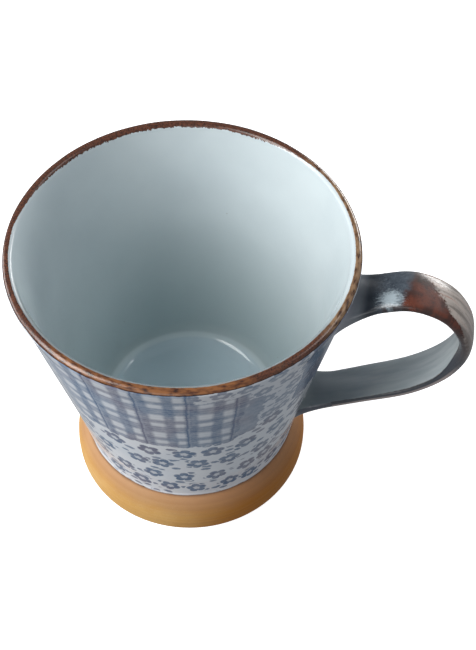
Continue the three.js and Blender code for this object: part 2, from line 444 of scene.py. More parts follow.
def clay_colour(look, pale, deep, flash):
    """Fired clay: faint turning bands, cloudy warmth and fine sand."""
    bands = look.noise(0.9 * MM, 3, look.vector(look.reach() * 0.5, look.z, 0))
    clouds = look.noise(16 * MM, 3, seed=2)
    sand = look.noise(0.35 * MM, 2, seed=4)
    colour = look.mix(bands.rise(0.35, 0.65) * 0.35 + clouds.rise(0.35, 0.68) * 0.65, pale, deep)
    colour = look.mix(look.noise(30 * MM, 2, seed=7).rise(0.48, 0.72) * 0.5, colour, flash)
    colour = look.mix(sand.rise(0.62, 0.78) * 0.35, colour, (0.26, 0.12, 0.045))
    return look.mix(sand.rise(0.38, 0.26) * 0.3, colour, (0.78, 0.58, 0.36)), bands, sand


def bare_clay():
    look = Look("bare_clay")
    colour, bands, sand = clay_colour(look, (0.56, 0.33, 0.16), (0.42, 0.23, 0.09), (0.50, 0.22, 0.09))
    return look.finished(colour, sand * 0.25 + 0.62, bands * 0.6 + sand * 0.5, 0.12 * MM)


def foot_clay():
    """Buff foot with painted shade: a deeper ochre towards the handle and the front, the side away from the
    window, darker where the glaze begins, and a painted shadow line under the glaze's edge.
    """
    look = Look("foot_clay")
    colour, bands, sand = clay_colour(look, (0.64, 0.41, 0.17), (0.54, 0.29, 0.08), (0.54, 0.25, 0.09))
    # Painted shade: the foot turns a deeper ochre on the side away from the window.
    drift = (look.noise(14 * MM, 2, seed=6) - 0.5) * 14 * MM
    shaded_side = (look.x - look.y * 0.3 + drift).rise(-12 * MM, 16 * MM)
    ochre = look.mix(bands.rise(0.3, 0.7), (0.43, 0.160, 0.014), (0.35, 0.120, 0.010))
    colour = look.mix(shaded_side * 0.95, colour, ochre)
    # Painted shade: darker, pinker brown towards the glaze line, in the shade under the glaze.
    shade_below_glaze = (look.z + (look.noise(9 * MM, 2, seed=9) - 0.5) * 4 * MM).rise(6 * MM, 13.5 * MM)
    colour = look.mix(shade_below_glaze * 0.75, colour, (0.36, 0.19, 0.105))
    # Painted shadow: a thin dark line just under the glaze's edge.
    line = (look.reach() - (look.noise(5 * MM, 2, seed=3) - 0.5) * 0.8 * MM).rise(32.9 * MM, 32.2 * MM)
    colour = look.mix(line * shade_below_glaze * 0.5, colour, (0.20, 0.11, 0.07))
    relief = bands * 0.5 + sand * 0.5
    return look.finished(colour, sand * 0.2 + 0.5, relief, 0.1 * MM, Specular_IOR_Level=0.25)


# ---- Materials: liner and rim ----


def round_the_rim(look):
    """The surface's place with its distance round the rim drawn out, for streaks that run along the lip."""
    return look.vector(look.turn() * (0.35 * RIM_RADIUS / math.degrees(1)), look.reach(), look.z)


FRONT_TURN = -85


def iron_colour(look):
    """Iron glaze: dark red brown, orange brown at the front and a painted tan sheen by the handle, streaked
    along the lip.
    """
    grain = look.noise(0.5 * MM, 4, seed=1, roughness=0.7)
    streaks = look.noise(0.8 * MM, 3, round_the_rim(look), seed=5)
    patches = look.noise(14 * MM, 2, seed=5)
    dark = look.mix(grain.rise(0.34, 0.66), (0.030, 0.012, 0.008), (0.140, 0.046, 0.022))
    orange = look.mix(streaks.rise(0.36, 0.60), (0.085, 0.028, 0.012), (0.270, 0.108, 0.036))
    tan = look.mix(streaks.rise(0.36, 0.60), (0.120, 0.058, 0.028), (0.330, 0.205, 0.110))
    turn = look.turn() + (patches - 0.5) * 60
    colour = look.mix((turn - FRONT_TURN).size().rise(40, 22) * 0.85, dark, orange)
    # Painted sheen: the glossy lip turns tan towards the handle's side of the rim.
    colour = look.mix((turn - 8).size().rise(52, 30) * 0.85, colour, tan)
    return look.mix(streaks.rise(0.41, 0.33) * 0.8, colour, (0.020, 0.010, 0.008)), grain


def lip_place(look):
    """How far inwards and how far down from the lip's crown a point is."""
    return LIP_CENTRE[0] - look.reach(), CUP_HEIGHT - look.z


def iron_share(look):
    """1 where the iron band covers the lip. Inside, it ends near the crown, or raggedly lower at the back."""
    inwards, down = lip_place(look)
    back_turn = 112
    back = (look.turn() - back_turn).size().rise(75, 35)
    ragged = (look.noise(0.9 * MM, 4, seed=6, roughness=0.7) - 0.5) * (back * 1.7 + 0.35)
    border = back * 1.15 + look.noise(16 * MM, 2, seed=21) * 0.7
    inner_run = inwards * 0.6 + down * 0.75
    inside = (inner_run - (border + ragged) * MM).rise(0.06 * MM, -0.06 * MM)
    outer_run = down + (look.noise(2.5 * MM, 3, seed=16) - 0.5) * 0.7 * MM
    outside = outer_run.rise(1.18 * MM, 1.06 * MM)
    return inside.least(outside.most(inwards.rise(-0.3 * MM, 0)))


def iron_over(look, colour):
    """Lays the iron band over a colour, with a thin dark line where its outer edge has pooled."""
    inwards, down = lip_place(look)
    iron, grain = iron_colour(look)
    pooled_and_highlit_line = down.rise(0.72 * MM, 1.0 * MM) * inwards.rise(0, -0.3 * MM)
    iron = look.mix(pooled_and_highlit_line * 0.9, iron, (0.016, 0.009, 0.008))
    return look.mix(iron_share(look), colour, iron), grain


LINER_GLAZE = (0.55, 0.62, 0.65)


def rim_glaze():
    """The band over the lip: iron glaze, and at its edges the printed glaze and the liner under it, with
    painted shade on the liner's edge at the front.
    """
    look = Look("iron_rim_glaze")
    inwards, _ = lip_place(look)
    printed, _ = printed_colour(look)
    # Painted shade: at the front the liner's glaze along the band's inner edge is dark grey.
    shaded_front = (look.turn() - FRONT_TURN).size().rise(78, 52)
    liner = look.mix(shaded_front * 0.85, LINER_GLAZE, (0.185, 0.215, 0.225))
    colour = look.mix(inwards.rise(-0.4 * MM, 0.4 * MM), printed, liner)
    colour, grain = iron_over(look, colour)
    return look.finished(colour, grain * 0.2 + 0.08, grain, 0.05 * MM, Specular_IOR_Level=0.65)


def liner_glaze():
    """Pale blue-grey liner, with the rim's brown running into its top edge, painted shade low on the wall,
    painted light on the floor, and a painted highlight ring on the floor's round.
    """
    look = Look("pale_liner_glaze")
    clouds = look.noise(22 * MM, 3, seed=2)
    colour = look.mix(clouds.rise(0.3, 0.7), (0.53, 0.60, 0.63), (0.58, 0.65, 0.675))
    # Painted shade: the wall grows darker lower down inside the cup.
    colour = look.mix(look.z.rise(72 * MM, 26 * MM) * 0.85, colour, (0.43, 0.515, 0.53))
    # The floor is paler and bluer than the wall: the paleness is painted light.
    colour = look.mix(look.z.rise(17 * MM, 15 * MM), colour, (0.55, 0.67, 0.73))
    # Painted highlight: a pale ring on the round between the floor and the wall.
    pooled_and_highlit_line = (look.reach() - 26.2 * MM).size().rise(1.1 * MM, 0.3 * MM) * look.z.rise(30 * MM, 26 * MM)
    colour = look.mix(pooled_and_highlit_line * 0.5, colour, (0.70, 0.78, 0.80))
    specks = look.spots(11 * MM).rise(0.022, 0.014)
    colour = look.mix(specks * 0.45, colour, (0.20, 0.17, 0.15))
    colour, _ = iron_over(look, colour)
    peel = look.noise(2.5 * MM, 2, seed=11)
    return look.finished(colour, clouds * 0.06 + 0.07, peel, 0.04 * MM, Specular_IOR_Level=0.55)


# ---- Materials: the printed coat ----

PRINT_RADIUS = 38 * MM
PRINT_PER_DEGREE = PRINT_RADIUS / math.degrees(1)
PLAID_TURN = 360 / 22
PLAID_DROP = 12.6 * MM

# Patches of each print: middle and half width in degrees, top and bottom as drops below the rim in
# millimetres, and slant in degrees for each millimetre.
CHECKS = ((-93, 36, -5, 37.5, 0.12), (52, 30, -5, 40, 0), (165, 24, 12, 52, 0))
SMALL_BLOSSOMS = ((-60, 21, -5, 30, -0.35), (112, 24, -5, 44, 0.3), (20, 18, 46, 90, 0))
TOP_BLOSSOMS = ((-62, 14, -5, 7, 0),)
WASHES = ((-61, 9, 12, 35, 0), (83, 8, 20, 60, 0))
INDIGOS = ((-27, 9.5, -5, 31, 0), (27, 8, 6, 42, 0))


def plaid(turn, drop):
    """Woven check: ink in columns and rows, white where both leave the glaze bare."""
    first_column = -105.3
    first_row = 3.7 * MM
    column = (turn - first_column) / PLAID_TURN
    row = (drop - first_row) / PLAID_DROP
    open_columns = column.stripe(0, 0.15, 0.055).most(column.stripe(0.47, 0.095, 0.045))
    open_rows = row.stripe(0, 0.14, 0.05).most(row.stripe(0.41, 0.09, 0.045))
    threads = (row * 9).stripe(0, 0.25, 0.2) * 0.09
    ink = 0.86 - open_columns * 0.20 - open_rows * 0.10 - open_columns * open_rows * 0.44 + threads
    ink = ink + column.stripe(0.615, 0.014, 0.012) * 0.35
    return ink - column.stripe(0.665, 0.016, 0.014) * (1 - open_rows * 0.5) * 0.15


def blossoms(look, turn, drop, count, row_height, size, seed):
    """Rows of five-petal flowers, each a ring of ink round a light eye, with leaf dashes between them."""
    row = drop / row_height
    stagger = (row.whole() * 0.5).part()
    column = turn * (count / 360) + stagger
    across_dice, down_dice, turn_dice = look.dice(column.whole(), row.whole(), seed)
    cell_width = 2 * math.pi * PRINT_RADIUS / count
    across = ((column.part() - 0.5) + (across_dice - 0.5) * 0.34) * cell_width
    down = ((row.part() - 0.5) + (down_dice - 0.5) * 0.26) * row_height
    distance = (across * across + down * down).math("SQRT")
    petals = ((down.math("ARCTAN2", across) + turn_dice * 2.5) * 2.5).math("COSINE").size()
    outline = (petals.math("POWER", 0.55) * 0.40 + 0.60) * size
    share = distance / outline
    flower = share.rise(1.08, 0.92) * (share.rise(0.26, 0.44) * 0.8 + 0.2)
    dash_place = look.vector(turn * PRINT_PER_DEGREE * 0.75, drop * 1.35, 0)
    dashes = look.spots(row_height * 0.36, dash_place).rise(0.40, 0.30) * share.rise(1.12, 1.26)
    return flower.most(dashes * 0.9)


def torn_patch(look, turn, drop, place):
    """1 inside a patch of paper with torn edges."""
    middle, half_width, top, bottom, slant = place
    aside = (turn - middle + drop * (slant / MM)) / 360 + 0.5
    sideways = (half_width - (aside.part() - 0.5).size() * 360) * PRINT_PER_DEGREE
    inside = sideways.least(drop - top * MM).least(bottom * MM - drop)
    torn = (look.noise(3.2 * MM, 4, seed=middle, roughness=0.65) - 0.5) * 4.2 * MM
    return (inside + torn).rise(-0.2 * MM, 0.2 * MM)


def pasted(look, turn, drop, ink, print_ink, places):
    """The ink with patches of another print laid over it."""
    share = torn_patch(look, turn, drop, places[0])
    for place in places[1:]:
        share = share.most(torn_patch(look, turn, drop, place))
    return ink + (print_ink - ink) * share


def patchwork(look):
    """How much ink lies where: large flowers all over, under patches of the other prints."""
    bleed = look.noise(0.8 * MM, 3, seed=3, roughness=0.6) - 0.5
    drift = look.noise(7 * MM, 2, seed=12) - 0.5
    turn = look.turn() + bleed * 1.1 + drift * 1.6
    drop = (CUP_HEIGHT - look.z) + bleed * 0.7 * MM + drift * 0.9 * MM
    small = blossoms(look, turn, drop, 40, 6.2 * MM, 2.5 * MM, 2) * 0.62 + 0.16
    ink = blossoms(look, turn + 3.4, drop - 1.2 * MM, 25, 9.3 * MM, 3.4 * MM, 1) * 0.95
    layers = (
        (small, SMALL_BLOSSOMS),
        (0.74 + drift * 0.5, WASHES),
        (plaid(turn, drop), CHECKS),
        (0.98 + drift * 0.4, INDIGOS),
        (small, TOP_BLOSSOMS),
    )
    for print_ink, places in layers:
        ink = pasted(look, turn, drop, ink, print_ink, places)
    return ink


def printed_colour(look):
    """White glaze over blue-grey prints, which are fainter at the far side from the handle: partly a fainter
    print, partly painted sheen on the side lit by the window.
    """
    pooling = look.noise(1.8 * MM, 5, seed=5, roughness=0.75)
    # Partly painted sheen: the ink is reduced on the far-left side, which the window lights.
    pale_side_turn = -152
    faint_print_and_sheen = (look.turn() - pale_side_turn).size().rise(16, 34) * 0.6 + 0.4
    ink = patchwork(look) * look.z.rise(WAIST_HEIGHT + 0.5 * MM, WAIST_HEIGHT + 1.3 * MM) * faint_print_and_sheen
    strength = (ink * (pooling * 1.1 + 0.42)).least(1.0).most(0.0)
    indigo = look.noise(14 * MM, 2, seed=8).rise(0.42, 0.66)
    clouds = look.noise(18 * MM, 3, seed=9).rise(0.35, 0.65)
    blue = look.mix(indigo, (0.085, 0.148, 0.255), (0.135, 0.142, 0.215))
    white = look.mix(clouds, (0.64, 0.68, 0.74), (0.70, 0.72, 0.76))
    return look.mix(strength, white, blue), strength


def printed_glaze():
    """The outside's glaze, with the iron band at the rim, painted shade round the handle's roots, and a
    darker glaze line that is partly painted shade.
    """
    look = Look("printed_glaze")
    colour, strength = printed_colour(look)
    # Painted shade round the handle's roots.
    colour = root_shade(look, colour)
    colour, _ = iron_over(look, colour)
    colour = glaze_edge_and_step_shade(look, colour)
    relief = look.noise(2.5 * MM, 2, seed=11) + strength * 0.12
    dry = look.z.rise(WAIST_HEIGHT + 16 * MM, WAIST_HEIGHT + 1 * MM) * 0.42
    return look.finished(colour, strength * 0.08 + 0.12 + dry, relief, 0.06 * MM, Specular_IOR_Level=0.38)


def root_shade(look, colour):
    """Painted shade: the wall darkens to blue slate a little way round the handle's roots, where the handle
    shades it.
    """
    beside = look.turn().size()
    upper = (beside * 0.75 * MM + (look.z - 76 * MM).size()).rise(14 * MM, 8.5 * MM)
    lower = (beside * 0.62 * MM + (look.z - 30 * MM).size()).rise(13 * MM, 8 * MM)
    return look.mix(upper.most(lower) * 0.75, colour, (0.11, 0.12, 0.155))


def glaze_edge_and_step_shade(look, colour):
    """Where the glaze ends it is thin: bare toasted clay shows through in spots, and a darker band along the
    edge is partly painted shade under the step where the glaze stops.
    """
    ragged = look.noise(2.2 * MM, 3, seed=14) - 0.5
    # The darker band is partly thin glaze and partly painted shade; the brown spots are bare clay.
    edge = (look.z + ragged * 0.5 * MM).rise(WAIST_HEIGHT + 0.75 * MM, WAIST_HEIGHT + 0.4 * MM)
    colour = look.mix(edge * 0.75, colour, (0.24, 0.19, 0.17))
    return look.mix(edge * look.noise(3 * MM, 2, seed=15).rise(0.55, 0.66), colour, (0.10, 0.05, 0.03))


# ---- Materials: the handle ----


def slate_colour(look, grain):
    return look.mix(grain.rise(0.35, 0.65), (0.030, 0.042, 0.058), (0.075, 0.095, 0.120))


def rust_colour(look, grain):
    clouds = look.noise(3 * MM, 3, seed=9)
    rust = look.mix(clouds.rise(0.35, 0.62), (0.045, 0.013, 0.008), (0.125, 0.030, 0.014))
    return look.mix(grain.rise(0.47, 0.34) * 0.6, rust, (0.022, 0.009, 0.007))


def ash_colour(look, along, grain):
    """Ash grey with dark grains and pink streaks, browner towards the bend."""
    streaks = look.noise(1.8 * MM, 3, look.vector(along * 0.12, look.y, 0), seed=5)
    ash = look.mix(streaks.rise(0.32, 0.58), (0.230, 0.200, 0.180), (0.540, 0.475, 0.430))
    ash = look.mix(grain.rise(0.46, 0.36) * 0.45, ash, (0.130, 0.095, 0.075))
    ash = look.mix(streaks.rise(0.52, 0.62) * 0.65, ash, (0.34, 0.150, 0.110))
    return look.mix(along.rise(35 * MM, 46 * MM) * 0.6, ash, (0.150, 0.120, 0.110))


def root_over(look, along, colour):
    """Lays the upper root's grey over a colour, up to a dark band of painted shade in the corner where it
    meets the strap.
    """
    root = look.mix(along.rise(5 * MM, 11 * MM), (0.30, 0.30, 0.34), (0.17, 0.19, 0.21))
    colour = look.mix(along.rise(13.5 * MM, 11.5 * MM), colour, root)
    # Painted shade: a dark band in the corner where the root turns into the strap.
    return look.mix(along.bump_at(12.8 * MM, 2.8 * MM) * 0.92, colour, (0.018, 0.026, 0.036))


def painted_highlight_over(look, along, colour):
    """Lays a painted highlight over a colour: a pale, grainy bloom for the window's reflection on the strap's
    rise near its front edge.
    """
    highlight_along = (along - 17.6 * MM) * 0.85
    highlight_across = look.y + 3.8 * MM
    distance = (highlight_along * highlight_along + highlight_across * highlight_across).math("SQRT")
    crystals = look.noise(0.5 * MM, 4, look.vector(along * 0.45, look.y, 0), 13, 0.75) - 0.5
    # Painted highlight, broken up by the glaze's crystals.
    painted_highlight = (distance + crystals * 7 * MM).rise(3.4 * MM, 0.8 * MM)
    return look.mix(painted_highlight * 0.85, colour, (0.47, 0.56, 0.61))


def dark_skin(look, along):
    """The dark glaze along the handle: slate with a painted highlight bloom, rust, ash at the bend, then
    slate.
    """
    grain = look.noise(0.8 * MM, 4, seed=1, roughness=0.7)
    drift = (look.noise(5 * MM, 3, seed=2) - 0.5) * 6 * MM
    slate = slate_colour(look, grain)
    rust_from = along + drift - look.y * 0.23
    colour = look.mix(rust_from.rise(21.2 * MM, 22.6 * MM), slate, rust_colour(look, grain))
    scorch = (along + drift * 0.2).bump_at(24.5 * MM, 3.5 * MM) * look.y.rise(-0.5 * MM, 2.5 * MM)
    colour = look.mix(scorch * grain.rise(0.40, 0.54) * 0.9, colour, (0.020, 0.013, 0.010))
    front_edge = look.y.rise(-4 * MM, -6.2 * MM) * 6 * MM
    ash_from = along + drift * 0.4 + look.y * 0.8 - front_edge + (grain - 0.5) * 6 * MM
    colour = look.mix(ash_from.rise(28.4 * MM, 30.6 * MM), colour, ash_colour(look, along, grain))
    colour = look.mix((along + drift - look.y * 0.9).rise(48 * MM, 60 * MM) * 0.85, colour, slate)
    colour = root_over(look, along, colour)
    colour = look.mix(along.rise(94 * MM, 106 * MM), colour, (0.085, 0.095, 0.120))
    return painted_highlight_over(look, along, colour), grain


def pale_skin(look, along):
    """The pale glaze inside the loop, streaked along the strap, with painted shade darkening it towards the
    wall.
    """
    streaks = look.noise(1.6 * MM, 3, look.vector(along * 0.12, look.y, 0))
    colour = look.mix(streaks.rise(0.3, 0.7), (0.44, 0.50, 0.52), (0.56, 0.61, 0.62))
    # Painted shade: the loop's inner face darkens near both roots, where the cup shades it.
    shade_towards_wall = along.rise(58 * MM, 104 * MM).most(along.rise(30 * MM, 14 * MM))
    return look.mix(shade_towards_wall * 0.9, colour, (0.095, 0.120, 0.135)), streaks


def dark_handle_glaze():
    """The strap's dark coat, slate where it wraps inwards past the bend, with a pale painted highlight on its
    front edge.
    """
    look = Look("dark_handle_glaze")
    along = look.fact("along")
    facing = look.fact("facing")
    colour, grain = dark_skin(look, along)
    wrapped = facing.rise(0.30, -0.15) * along.rise(33 * MM, 43 * MM)
    colour = look.mix(wrapped * 0.85, colour, (0.052, 0.057, 0.068))
    # Painted highlight: a pale line along the front edge of the handle's lower arm.
    painted_edge_highlight = (facing - 0.12).size().rise(0.30, 0.12) * along.rise(52 * MM, 62 * MM)
    colour = look.mix(painted_edge_highlight * look.y.rise(0, -5 * MM) * 0.8, colour, (0.40, 0.34, 0.32))
    edges = look.y.size().rise(5.6 * MM, 6.3 * MM) * along.rise(56 * MM, 40 * MM)
    burnt = edges * look.noise(2 * MM, 2, seed=7).rise(0.30, 0.55)
    colour = look.mix(burnt * 0.8, colour, (0.028, 0.013, 0.010))
    rusty = (along + look.y * 0.8).bump_at(24 * MM, 8 * MM)
    roughness = grain * 0.22 + 0.10 + rusty * 0.3
    return look.finished(colour, roughness, grain, 0.07 * MM, Specular_IOR_Level=0.65)


def pale_handle_glaze():
    """The strap's pale coat, with a dark line where it meets the dark one."""
    look = Look("pale_handle_glaze")
    colour, streaks = pale_skin(look, look.fact("along"))
    ragged = look.noise(1.3 * MM, 3, seed=4) - 0.5
    edge = (look.fact("border") + ragged * 0.35 * MM).rise(0.42 * MM, 0.12 * MM)
    colour = look.mix(edge * 0.9, colour, (0.030, 0.022, 0.024))
    return look.finished(colour, streaks * 0.15 + 0.14, streaks, 0.05 * MM, Specular_IOR_Level=0.5)


def root_glaze():
    """The roots carry the strap's two glazes on: dark outside, pale inside the loop."""
    look = Look("root_glaze")
    along = look.fact("along")
    dark, grain = dark_skin(look, along)
    pale, _ = pale_skin(look, along)
    ragged = look.noise(1.3 * MM, 3, seed=4) - 0.5
    inside = (look.fact("facing") + ragged * 0.06).rise(-0.38, -0.45)
    colour = look.mix(inside, dark, pale)
    return look.finished(colour, grain * 0.18 + 0.14, grain, 0.06 * MM, Specular_IOR_Level=0.6)


# ---- Cup pieces ----


def clay_cup():
    """The thrown cup: only its trimmed underside shows, with the marks of the turning tool."""
    profile = np.vstack((
        flat(UNDERSIDE_HEIGHT, 1 * MM, outer_radius(UNDERSIDE_HEIGHT, CLAY_DEPTH), 90),
        outer_wall(UNDERSIDE_HEIGHT, CUP_HEIGHT - LIP_REACH, CLAY_DEPTH, 60)[1:],
        lip_arc(CLAY_DEPTH, 12),
        inner_wall(FLOOR_HEIGHT + FLOOR_FILLET, CUP_HEIGHT - 2 * MM, CLAY_DEPTH, 30)[::-1][1:],
        floor_arc(CLAY_DEPTH, 10),
        flat(FLOOR_HEIGHT - CLAY_DEPTH, 15 * MM, 1 * MM, 4),
    ))

    def tool_marks(radii, heights, angles):
        underneath = heights < UNDERSIDE_HEIGHT + 0.01 * MM
        spiral = np.sin(radii / (0.42 * MM) - angles)
        ridge = 0.09 * MM * spiral * smooth(radii, 1 * MM, 5 * MM) * smooth(radii, 28 * MM, 26 * MM)
        return radii, heights + np.where(underneath, ridge, 0)

    skinned("clay_cup", turned(profile, tool_marks), "fan", bare_clay(), "bare_clay", "cup_body")


def foot_ring():
    """Bare clay foot: fine turning rings on its side and a bevelled, slightly worn standing edge."""
    top = WAIST_HEIGHT - LAYER_GAP
    ledge = UNDERSIDE_HEIGHT - LAYER_GAP
    profile = np.vstack((
        arc((RECESS_RADIUS + RECESS_EDGE, RECESS_EDGE), (RECESS_EDGE, RECESS_EDGE),
            math.pi, 1.5 * math.pi, 8),
        flat(0, RECESS_RADIUS + RECESS_EDGE, FOOT_RADIUS - FOOT_EDGE, 14)[1:-1],
        arc((FOOT_RADIUS - FOOT_EDGE, FOOT_EDGE), (FOOT_EDGE, FOOT_EDGE), -math.pi / 2, 0, 8),
        upright(FOOT_RADIUS, FOOT_EDGE, WAIST_HEIGHT - FOOT_SHOULDER, 8),
        arc((WAIST_RADIUS, WAIST_HEIGHT - FOOT_SHOULDER),
            (FOOT_RADIUS - WAIST_RADIUS, FOOT_SHOULDER - LAYER_GAP), 0, math.pi / 2, 64),
        [[outer_radius(top, COAT), top]],
        outer_wall(ledge, top, COAT, 6)[::-1][1:],
        [[RECESS_RADIUS, ledge]],
        upright(RECESS_RADIUS, ledge, RECESS_EDGE, 20),
    ))

    def turning_rings(radii, heights, angles):
        side = smooth(radii, 32.4 * MM, 33.4 * MM) + smooth(radii, 28.9 * MM, 28.5 * MM)
        height = heights + 0.10 * MM * np.sin(angles)
        rings = np.sin(height / (0.36 * MM)) + 0.7 * np.sin(height / (0.83 * MM) + 1)
        wobble = waver(angles, ((2, 0.5), (5, 0.3), (9, 0.2)), 0.6)
        return radii - side * (0.045 * MM + 0.022 * MM * rings + 0.05 * MM * (1 + wobble)), heights

    rings = turned(profile, turning_rings)
    skinned("foot_ring", rings, "ring", foot_clay(), "foot_clay", "foot_ring")


def liner():
    """Liner glaze: inner wall, fillet and floor, with the faintest throwing waves under its gloss."""
    top = BAND_INNER_HEIGHT - 0.01 * MM
    wall_foot = floor_arc(0)[0, 1]
    underneath = np.vstack((
        flat(FLOOR_HEIGHT - COAT, 1 * MM, 20 * MM, 6),
        floor_arc(COAT, 10)[::-1],
        inner_wall(wall_foot, top, COAT, 24)[1:],
    ))
    shown = np.vstack((
        inner_wall(wall_foot, top, 0, 90)[::-1],
        floor_arc(0, 24)[1:],
        flat(FLOOR_HEIGHT, 20 * MM, 1 * MM, 30),
    ))
    first_shown = len(underneath)

    def throwing_waves(radii, heights, angles):
        on_face = (np.arange(len(radii)) >= first_shown)[:, None]
        waves = np.sin(heights / (2.1 * MM) - angles) * 0.5 + waver(angles, ((3, 0.5), (7, 0.3)), 2)
        above_floor = smooth(heights, FLOOR_HEIGHT + 4 * MM, FLOOR_HEIGHT + 20 * MM)
        fade = above_floor * smooth(heights, top, top - 6 * MM)
        return radii - np.where(on_face, 0.035 * MM * (1 + waves) * fade, 0), heights

    rings = turned(np.vstack((underneath, shown)), throwing_waves)
    skinned("liner_glaze", rings, "fan", liner_glaze(), "pale_liner_glaze", "inner_glaze")


def rim_band():
    """Iron glaze over the lip: its thickness varies round the rim, and it ends flush at both edges."""
    outer = np.vstack((
        outer_wall(BAND_OUTER_HEIGHT, CUP_HEIGHT - LIP_REACH, 0, 3)[:-1],
        lip_arc(0, 26),
        [[inner_radius(BAND_INNER_HEIGHT), BAND_INNER_HEIGHT]],
    ))
    inner = np.vstack((
        [[inner_radius(BAND_INNER_HEIGHT, COAT), BAND_INNER_HEIGHT]],
        lip_arc(COAT, 10)[::-1],
        [[outer_radius(BAND_OUTER_HEIGHT, COAT), BAND_OUTER_HEIGHT]],
    ))
    shown = len(outer)

    def uneven(radii, heights, angles):
        on_lip = (np.arange(len(radii)) < shown)[:, None]
        dip = 0.05 * MM * (1 + waver(angles, ((2, 0.4), (11, 0.25), (23, 0.2)), 1.1))
        towards_centre = np.hypot(radii - LIP_CENTRE[0], heights - LIP_CENTRE[1])
        lowest = np.where(radii < LIP_CENTRE[0], BAND_INNER_HEIGHT, BAND_OUTER_HEIGHT)
        dip = dip * smooth(heights, lowest, lowest + 0.8 * MM)
        share = np.where(on_lip, dip / towards_centre, 0)
        return radii + (LIP_CENTRE[0] - radii) * share, heights + (LIP_CENTRE[1] - heights) * share

    rings = turned(np.vstack((outer, inner)), uneven)
    skinned("iron_rim", rings, "ring", rim_glaze(), "iron_rim_glaze", "rim_glaze")


def printed_coat():
    """Outside glaze: thin at the rim, and gathered into a soft roll where it stops on the foot's shoulder."""
    top = BAND_OUTER_HEIGHT - LAYER_GAP
    roll = arc((WAIST_RADIUS, WAIST_HEIGHT + 0.35 * MM), (0.24 * MM, 0.34 * MM), 0.5, -1.5, 8)[::-1]
    profile = np.vstack((
        roll,
        outer_wall(WAIST_HEIGHT + 1.2 * MM, top, 0, 110),
        outer_wall(WAIST_HEIGHT, top, COAT, 24)[::-1],
    ))
    shown = len(roll)

    def glaze_line(radii, heights, angles):
        near = smooth(heights, WAIST_HEIGHT + 1.6 * MM, WAIST_HEIGHT + 0.2 * MM)
        rows = (np.arange(len(radii)) < shown)[:, None]
        spread = 0.10 * MM * (1 + waver(angles, ((3, 0.4), (8, 0.35), (19, 0.25), (41, 0.12)), 0.4))
        return radii + np.where(rows, spread * near, 0), heights

    rings = turned(profile, glaze_line)
    skinned("printed_coat", rings, "ring", printed_glaze(), "printed_glaze", "outer_glaze")


# ---- Handle pieces ----


def handle_line():
    """The handle's middle line as closely spaced points: a Catmull-Rom curve through HANDLE_PATH."""
    ends = (2 * HANDLE_PATH[0] - HANDLE_PATH[1], 2 * HANDLE_PATH[-1] - HANDLE_PATH[-2])
    knots = np.vstack((ends[0], HANDLE_PATH, ends[1]))
    share = np.linspace(0, 1, 60, endpoint=False)[:, None]
    spans = []
    for a, b, c, d in zip(knots, knots[1:], knots[2:], knots[3:]):
        leave = (c - a) / 2
        arrive = (d - b) / 2
        spans.append(b + leave * share + (3 * (c - b) - 2 * leave - arrive) * share**2
                     + (2 * (b - c) + leave + arrive) * share**3)
    return np.vstack((*spans, HANDLE_PATH[-1:]))


LINE = handle_line()
LINE_DISTANCE = np.concatenate(([0], np.cumsum(np.hypot(*np.diff(LINE, axis=0).T))))
HANDLE_LENGTH = LINE_DISTANCE[-1]


def on_line(distance):
    """Points and unit tangents of the middle line, at distances along it."""
    step = 0.2 * MM
    point = np.stack([np.interp(distance, LINE_DISTANCE, LINE[:, k]) for k in (0, 1)], axis=-1)
    ahead = np.stack([np.interp(distance + step, LINE_DISTANCE, LINE[:, k]) for k in (0, 1)], axis=-1)
    behind = np.stack([np.interp(distance - step, LINE_DISTANCE, LINE[:, k]) for k in (0, 1)], axis=-1)
    tangent = ahead - behind
    return point, tangent / np.linalg.norm(tangent, axis=-1, keepdims=True)


def oblong(half_width, half_thickness, angle):
    """Point on a rounded oblong outline: across it, and outwards through its thickness."""
    power = 2 / STRAP_SQUARENESS
    across = half_width * np.sign(np.cos(angle)) * np.abs(np.cos(angle)) ** power
    outwards = half_thickness * np.sign(np.sin(angle)) * np.abs(np.sin(angle)) ** power
    return across, outwards


def strap_points(along, angle, depth):
    """Points at a depth under the strap's glaze. Angle 0 is its back edge and 90 degrees its outer face."""
    point, tangent = on_line(along)
    swell = 0.12 * MM * np.sin(along / (9 * MM)) + 0.08 * MM * np.sin(along / (4.3 * MM) + angle)
    half_width = STRAP_HALF_WIDTH - STRAP_EDGE_SHRINK + swell - depth
    half_thickness = STRAP_HALF_THICKNESS - STRAP_FACE_SHRINK - depth
    across, outwards = oblong(half_width, half_thickness, angle)
    x = AXIS_X + point[..., 0] - tangent[..., 1] * outwards
    z = point[..., 1] + tangent[..., 0] * outwards
    return np.stack(np.broadcast_arrays(x, across, z), axis=-1)


def glaze_border(along, side):
    """How far the dark glaze wraps from one edge (side 1 is the back) onto the strap's inner face."""
    bend = np.exp(-(((along - 50 * MM) / (9 * MM)) ** 2)) * (0.6 - 0.4 * side)
    ragged = np.sin(along / (2.9 * MM) + side) + 0.6 * np.sin(along / (1.3 * MM) + 2 * side)
    return (0.45 + 2.1 * bend) * MM + (0.02 + 0.07 * bend) * MM * ragged


def border_angle(along, side):
    """How far past the strap's edge the dark glaze ends, as an angle on the strap's outline."""
    share = 1 - glaze_border(along, side) / STRAP_HALF_WIDTH
    return np.arccos(share ** (STRAP_SQUARENESS / 2))


